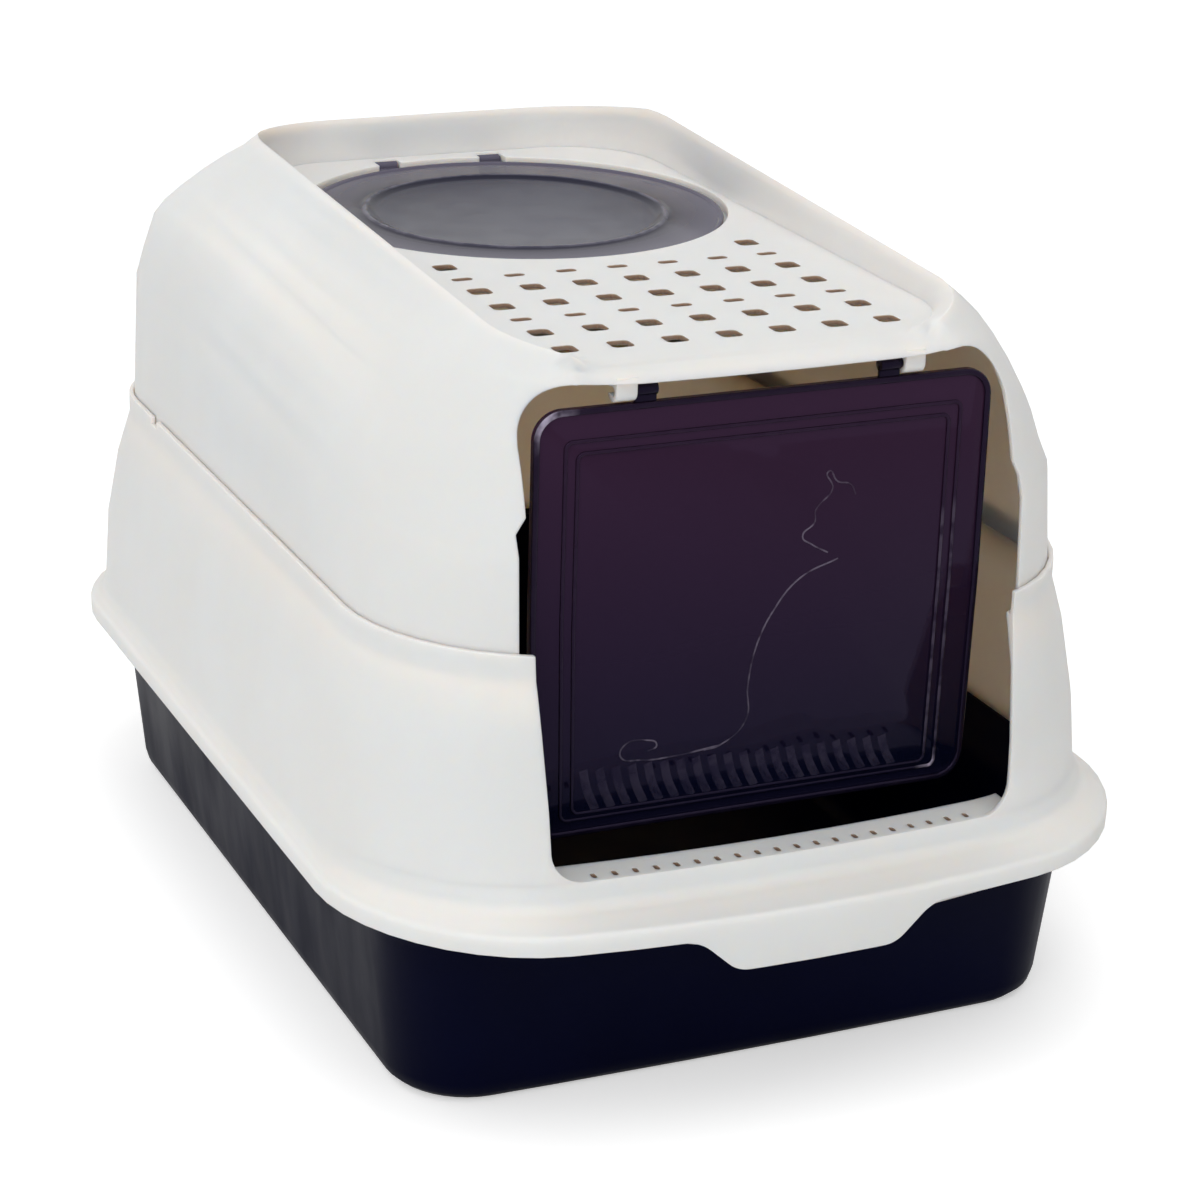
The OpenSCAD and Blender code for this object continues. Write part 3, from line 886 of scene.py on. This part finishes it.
@dataclass
class SwingDoor:
    """The smoked door: rounded panel, rolled border, double raised line, cat line, lugs and pins.

    Lengths are in metres. One table holds the X, Z and reach of the spots with a painted highlight,
    and streak the sides of the strip with a painted highlight in X and Z. Fields that end in mark
    say how strongly the finish paints shade or highlights on a relief, and fields that end in share
    are parts of another length.
    """

    width: float = 0.234
    height: float = 0.214
    thickness: float = 0.0024
    corner: float = 0.014
    panel_round: float = 0.0008
    belly: float = 0.0025
    border: float = 0.0032
    border_mark: float = 0.8
    rise: float = 0.0013
    sunk: float = 0.0002
    line_insets: tuple = (0.015, 0.021)
    line_lows: tuple = (0.0075, 0.0105)
    line_width: float = 0.0018
    line_corner: float = 0.0045
    line_rise_share: float = 0.8
    line_round_share: float = 0.3
    line_mark: float = 0.45
    long_edge: float = 0.08
    long_edge_cuts: int = 24
    cat_lines: tuple = (
        ((0.0353, 0.2582), (0.0264, 0.2633), (0.0213, 0.268), (0.0274, 0.2744),
         (0.0276, 0.2804), (0.0361, 0.2905), (0.0335, 0.2993), (0.0386, 0.2938),
         (0.0458, 0.2915), (0.0488, 0.2861)),
        ((0.041, 0.2545), (0.0209, 0.2467), (0.0077, 0.232), (-0.001, 0.2136),
         (-0.0043, 0.1943), (-0.0046, 0.1766), (-0.018, 0.1655), (-0.0266, 0.1641)),
        ((-0.018, 0.1655), (-0.0425, 0.1633), (-0.0604, 0.1638), (-0.0705, 0.1669),
         (-0.0691, 0.1724), (-0.0576, 0.1738), (-0.0517, 0.1704), (-0.0564, 0.1679)),
    )
    cat_width: float = 0.0009
    cat_rise: float = 0.0004
    cat_mark: float = 0.28
    rib_count: int = 20
    rib_first: tuple = (-0.0900, 0.1630)
    rib_last: tuple = (0.0710, 0.1580)
    rib_foot: float = 0.1415
    rib_slant: float = 0.007
    rib_bend_share: float = 0.35
    rib_width: float = 0.0044
    rib_rise_share: float = 0.4
    rib_mark: float = 0.035
    highlight_spots: tuple = ((-0.1135, 0.3385, 0.011), (0.1010, 0.1385, 0.0045), (0.008, 0.3435, 0.003))
    highlight_gain: float = 2.0
    streak: tuple = ((0.085, 0.108), (0.150, 0.275))
    streak_mark: float = 0.11
    crest_mark: float = 0.008
    axis_y: float = -0.2182
    axis_z: float = 0.3495
    hang: float = 0.006
    lug_span: float = 0.138
    lug_width: float = 0.011
    lug_wall: float = 0.0008
    lug_root: float = 0.004
    lug_round: float = 0.0005
    pin_radius: float = 0.0025
    pin_length: float = 0.009
    pin_root: float = 0.001
    pin_round: float = 0.0004
    body: str = "swing_door"

    @property
    def middle(self) -> tuple[float, float, float]:
        """Middle of the panel at rest."""
        return 0.0, self.axis_y, self.axis_z - self.hang - self.height / 2

    def paint_highlights(self, mould: Mould) -> None:
        """Marks a painted highlight on the crests of the relief, stronger on a strip and round a
        few spots.

        Args:
            mould: the door's mould, in its place.
        """
        crest = self.axis_y - self.thickness / 2 - self.rise * 0.5
        (left, right), (low, high) = self.streak
        for vert in mould.mesh.verts:
            if vert.co.y > crest:
                continue
            on_streak = left < vert.co.x < right and low < vert.co.z < high
            mark = self.streak_mark if on_streak else self.crest_mark
            for x, z, reach in self.highlight_spots:
                away = math.hypot(vert.co.x - x, vert.co.z - z)
                mark = max(mark, min(1.0, self.highlight_gain * (1.0 - away / reach)))
            mould.mark(GLINT, [vert], mark)

    def rib_lines(self) -> list[list[tuple[float, float]]]:
        """Works out the middle lines of the short ribs along the door's foot.

        Returns:
            The X and Z of three points for each rib.
        """
        lines = []
        for k in range(self.rib_count):
            share = k / (self.rib_count - 1)
            x, z = (a + share * (b - a) for a, b in zip(self.rib_first, self.rib_last))
            bend = (x + self.rib_slant * self.rib_bend_share, (z + self.rib_foot) / 2)
            lines.append([(x, z), bend, (x + self.rib_slant, self.rib_foot)])
        return lines

    def raised_ring(self, mould: Mould, inset: float, width: float, radius: float, rise: float,
                    low: float, mark: float) -> None:
        """Adds a closed raised line on the panel's front.

        Args:
            mould: the door's mould.
            inset: distance of the line from the door's edge.
            width: width of the line.
            radius: its outer corner radius.
            rise: how far it stands up from the panel.
            low: how much nearer it comes to the panel's lower edge.
            mark: how dark the painted shade on it is.
        """
        face = mould.sheet(self.width - 2 * inset, self.height - 2 * inset + low, radius)
        ring = bmesh.ops.inset_region(mould.mesh, faces=[face], thickness=width,
                                      use_even_offset=True, use_boundary=True)["faces"]
        bmesh.ops.delete(mould.mesh, geom=[face], context="FACES_ONLY")
        bmesh.ops.translate(mould.mesh, verts=once(v for f in ring for v in f.verts),
                            vec=(0, self.sunk - self.thickness / 2, -low / 2))
        tops = mould.thicken(ring, rise + self.sunk)
        mould.mark(PAINTED_SHADE, mould.shell_of(tops), mark)
        edges = once(e for f in tops for e in f.edges)
        rims = [e for e in edges if sum(g in tops for g in e.link_faces) == 1]
        mould.soften(rims, width * self.line_round_share, 3)

    def panel(self, mould: Mould) -> None:
        """Adds the panel with its border and double line, wider from its middle up.

        Args:
            mould: the door's mould.
        """
        face = mould.sheet(self.width, self.height, self.corner)
        bmesh.ops.translate(mould.mesh, verts=face.verts[:], vec=(0, self.thickness / 2, 0))
        front = mould.thicken([face], self.thickness)
        mould.soften(list(front[0].edges), self.panel_round, 2)
        self.raised_ring(mould, 0.0, self.border, self.corner, self.rise, 0.0, self.border_mark)
        for inset, low in zip(self.line_insets, self.line_lows):
            self.raised_ring(mould, inset, self.line_width, self.line_corner,
                             self.rise * self.line_rise_share, low, self.line_mark)
        mould.divide(self.long_edge, self.long_edge_cuts)
        for vert in mould.mesh.verts:
            up = min(max(0.5 + vert.co.z / self.height, 0.0) * 2.0, 1.0)
            vert.co.x *= 1.0 + 2.0 * self.belly / self.width * up
        mould.place(mould.mesh.verts[:], move=self.middle)

    def relief(self, mould: Mould) -> None:
        """Adds the cat line and the ribs on the panel's front.

        Args:
            mould: the door's mould, in its place.
        """
        front = self.axis_y - self.thickness / 2
        # The cat line gets a painted highlight, the ribs a faint painted reflection of the sill's
        # slots
        for points in self.cat_lines:
            mould.line(list(points), self.cat_width / 2, self.cat_rise, front,
                       GLINT, self.cat_mark)
        for points in self.rib_lines():
            mould.line(points, self.rib_width / 2, self.cat_rise * self.rib_rise_share, front,
                       GLINT, self.rib_mark)

    def hinge(self, mould: Mould) -> None:
        """Adds the two lugs and their pins.

        Args:
            mould: the door's mould, in its place.
        """
        drop = self.hang + self.lug_root
        for side in (-1, 1):
            x = side * (self.lug_span - self.lug_width) / 2
            mould.rod(self.pin_radius + self.lug_wall, self.lug_width,
                      (x, self.axis_y, self.axis_z), self.pin_round)
            mould.bar((self.lug_width, self.thickness, drop),
                      (x, self.axis_y, self.axis_z - drop / 2), self.lug_round)
            outer = side * (self.lug_span + self.pin_length - self.pin_root) / 2
            mould.rod(self.pin_radius, self.pin_length + self.pin_root,
                      (outer, self.axis_y, self.axis_z), self.pin_round)

    def build(self) -> bpy.types.Object:
        """Builds the door.

        Returns:
            The door's piece.
        """
        mould = Mould()
        self.panel(mould)
        self.paint_highlights(mould)
        self.relief(mould)
        before = set(mould.mesh.verts)
        self.hinge(mould)
        # The lugs and pins take the full painted shade
        mould.mark(PAINTED_SHADE, [v for v in mould.mesh.verts if v not in before])
        return mould.piece("door_panel")

    def make(self) -> None:
        """Builds and dresses the door."""
        dress(self.build(), DOOR_FINISH.material(), self.body, "swing_door")


@dataclass
class HatchLid:
    """The smoked round lid of the top entry: rim, band, raised ring, sunk middle, two knuckles.

    Lengths are in metres. ring_crest and ring_feet are distances from ring_radius between which
    the finish paints a highlight on the ring's crest and shade at its feet.
    """

    radius: float = 0.114
    middle_y: float = 0.0938
    foot_z: float = 0.3523
    thickness: float = 0.0026
    ring_radius: float = 0.0832
    ring_crest: tuple = (-0.0016, 0.0001)
    ring_feet: tuple = ((0.001, 0.0045), (-0.0055, -0.002))
    crest_mark: float = 0.5
    foot_mark: float = 0.6
    hinge_y: float = 0.2126
    hinge_z: float = 0.3551
    hinge_radius: float = 0.0028
    hinge_span: float = 0.076
    knuckle_width: float = 0.013
    knuckle_root: float = 0.014
    knuckle_play: float = 0.0001
    bar_round: float = 0.0004
    knuckle_round: float = 0.0005
    pin_radius: float = 0.0016
    pin_length: float = 0.006
    pin_root: float = 0.001
    pin_round: float = 0.0003
    body: str = "hatch_lid"

    def profile(self) -> list[tuple[float, float]]:
        """Lists the lid's section, from the middle of its underside round to its top.

        Returns:
            The radius and height of each point.
        """
        r, t, ring = self.radius, self.thickness, self.ring_radius
        return [
            (0, 0), (r - 0.001, 0), (r - 0.0003, 0.0003), (r, 0.001), (r, t + 0.0002),
            (r - 0.0004, t + 0.0008), (r - 0.0013, t + 0.001), (r - 0.0024, t + 0.0007),
            (r - 0.0032, t), (ring + 0.004, t), (ring + 0.0012, t + 0.0004), (ring, t + 0.0011),
            (ring - 0.0015, t + 0.0012), (ring - 0.003, t + 0.0006), (ring - 0.005, t - 0.0006),
            (ring - 0.008, t - 0.0009), (0, t - 0.0007)
        ]

    def mark_ring(self, mould: Mould) -> None:
        """Marks a painted highlight on the crest and a painted shade at the feet of the raised
        ring.

        Args:
            mould: the lid's mould, in its place.
        """
        for vert in mould.mesh.verts:
            out = math.hypot(vert.co.x, vert.co.y - self.middle_y) - self.ring_radius
            if self.ring_crest[0] < out < self.ring_crest[1]:
                mould.mark(GLINT, [vert], self.crest_mark)
            elif any(low < out < high for low, high in self.ring_feet):
                mould.mark(PAINTED_SHADE, [vert], self.foot_mark)

    def build(self) -> bpy.types.Object:
        """Builds the lid.

        Returns:
            The lid's piece.
        """
        mould = Mould()
        mould.turned(self.profile(), (0, self.middle_y, self.foot_z))
        self.mark_ring(mould)
        front = self.middle_y + self.radius - self.knuckle_root
        for side in (-1, 1):
            x = side * (self.hinge_span - self.knuckle_width) / 2
            size = (self.knuckle_width, self.hinge_y - front, self.thickness - self.knuckle_play)
            mould.bar(size, (x, (self.hinge_y + front) / 2, self.foot_z + self.thickness / 2),
                      self.bar_round)
            mould.rod(self.hinge_radius, self.knuckle_width, (x, self.hinge_y, self.hinge_z),
                      self.knuckle_round)
            outer = side * (self.hinge_span / 2 - self.pin_root + self.pin_length / 2)
            mould.rod(self.pin_radius, self.pin_length, (outer, self.hinge_y, self.hinge_z),
                      self.pin_round)
        return mould.piece("lid_disc")

    def make(self) -> None:
        """Builds and dresses the lid."""
        dress(self.build(), LID_FINISH.material(), self.body, "hatch_lid")


@dataclass(frozen=True)
class Lamp:
    """A square lamp: its name, its place and side in metres and its power in watts."""

    name: str
    place: tuple[float, float, float]
    size: float
    power: float

    def hang(self, target: Vector) -> None:
        """Hangs the lamp so that it looks at the object.

        Args:
            target: the place that it looks at.
        """
        data = bpy.data.lights.new(self.name, "AREA")
        data.shape, data.size, data.energy = "SQUARE", self.size, self.power
        lamp = bpy.data.objects.new(self.name, data)
        lamp.location = self.place
        aim = target - Vector(self.place)
        lamp.rotation_euler = aim.to_track_quat("-Z", "Y").to_euler()
        bpy.context.scene.collection.objects.link(lamp)


@dataclass
class Studio:
    """Pale floor, soft lamps, white surroundings and the camera of the photograph.

    Angles are in degrees, lengths in metres, lens and sensor in millimetres. fill and fill_right
    are the strengths of the surroundings ahead and on the right, and fill_span is the stretch of
    the direction's X between them.
    """

    azimuth: float = -24.3
    elevation: float = 20.5
    roll: float = 1.7
    distance: float = 1.7064
    target: tuple = (-0.0169, -0.0714, 0.1879)
    lens: float = 98.5
    sensor: float = 36.0
    clip: tuple = (0.05, 50.0)
    lamps: tuple = (Lamp("key", (-1.5, -2.2, 1.9), 1.6, 18.0),
                    Lamp("top", (0.2, -0.6, 2.7), 2.0, 15.0))
    floor_size: float = 8.0
    floor_colour: tuple = (0.90, 0.90, 0.90)
    floor_shade: float = 0.995
    floor_blotch: float = 0.8
    floor_lift: float = 0.42
    fill: float = 0.88
    fill_right: float = 0.20
    fill_span: tuple = (0.0, 0.85)

    def floor(self) -> None:
        """Lays the floor, lifted to white for the camera alone."""
        mesh = bmesh.new()
        bmesh.ops.create_grid(mesh, x_segments=1, y_segments=1, size=self.floor_size)
        floor = finish_piece(mesh, "floor", 30.0)
        tree = NodeTree(bpy.data.materials.new("floor_white"))
        shader = tree.surface(Roughness=0.9, Specular_IOR_Level=0.1,
                              Emission_Color=(1.0, 1.0, 1.0, 1.0))
        tone = tree.spread(tree.noise(self.floor_blotch, detail=1.0), 0.0, 1.0)
        shade = tuple(c * self.floor_shade for c in self.floor_colour)
        tree.join(tree.blend(tone, self.floor_colour, shade), shader.inputs["Base Color"])
        seen = tree.add("ShaderNodeLightPath").outputs["Is Camera Ray"]
        tree.join(tree.spread(seen, 0.0, self.floor_lift, 0.0, 1.0),
                  shader.inputs["Emission Strength"])
        floor.data.materials.append(tree.owner)

    def world(self) -> None:
        """Makes the surroundings white to the eye and softer as a lamp."""
        tree = NodeTree(bpy.data.worlds.new("surroundings"))
        bpy.context.scene.world = tree.owner
        path = tree.add("ShaderNodeLightPath").outputs
        mirrored = tree.combine("MAXIMUM", path["Is Glossy Ray"], path["Is Transmission Ray"])
        seen = tree.combine("MAXIMUM", path["Is Camera Ray"], mirrored)
        way = tree.add("ShaderNodeSeparateXYZ")
        tree.join(tree.coordinates["Generated"], way.inputs["Vector"])
        fill = tree.spread(way.outputs["X"], self.fill, self.fill_right, *self.fill_span)
        strength = tree.add("ShaderNodeMapRange")
        tree.join(fill, strength.inputs["To Min"])
        strength.inputs["To Max"].default_value = 1.0
        tree.join(seen, strength.inputs["Value"])
        sky = tree.add("ShaderNodeBackground")
        sky.inputs["Color"].default_value = (1.0, 1.0, 1.0, 1.0)
        tree.join(strength.outputs["Result"], sky.inputs["Strength"])
        output = tree.add("ShaderNodeOutputWorld")
        tree.join(sky.outputs["Background"], output.inputs["Surface"])

    def camera(self) -> None:
        """Sets the camera of the photograph."""
        az, el, roll = (math.radians(a) for a in (self.azimuth, self.elevation, self.roll))
        back = Vector((math.sin(az) * math.cos(el), -math.cos(az) * math.cos(el), math.sin(el)))
        right = Vector((math.cos(az), math.sin(az), 0))
        up = back.cross(right)
        turned_right = math.cos(roll) * right + math.sin(roll) * up
        turned_up = math.cos(roll) * up - math.sin(roll) * right
        data = bpy.data.cameras.new("camera")
        data.lens, data.sensor_width = self.lens, self.sensor
        data.clip_start, data.clip_end = self.clip
        camera = bpy.data.objects.new("camera", data)
        axes = Matrix((turned_right, turned_up, back)).transposed().to_4x4()
        axes.translation = Vector(self.target) + self.distance * back
        camera.matrix_world = axes
        bpy.context.scene.collection.objects.link(camera)
        bpy.context.scene.camera = camera

    def make(self) -> None:
        """Sets the whole studio."""
        self.floor()
        self.world()
        for lamp in self.lamps:
            lamp.hang(Vector(self.target))
        self.camera()
        bpy.context.scene.view_settings.view_transform = "Standard"


def main() -> None:
    """Builds every sub-assembly in order."""
    logging.basicConfig(level=logging.INFO, format="%(name)s: %(message)s")
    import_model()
    MouldedShell("base_pan", "pan_shell", Slot.PAN, PAN_FINISH).make()
    MouldedShell("hood_lower", "lower_hood_shell", Slot.HOOD, HOOD_FINISH,
                 holes=SILL_HOLES, tab=TabEnd()).make()
    MouldedShell("hood_upper", "upper_hood_shell", Slot.HOOD, HOOD_FINISH,
                 holes=ROOF_HOLES).make()
    SwingDoor().make()
    HatchLid().make()
    Studio().make()


if __name__ == "__main__":
    main()
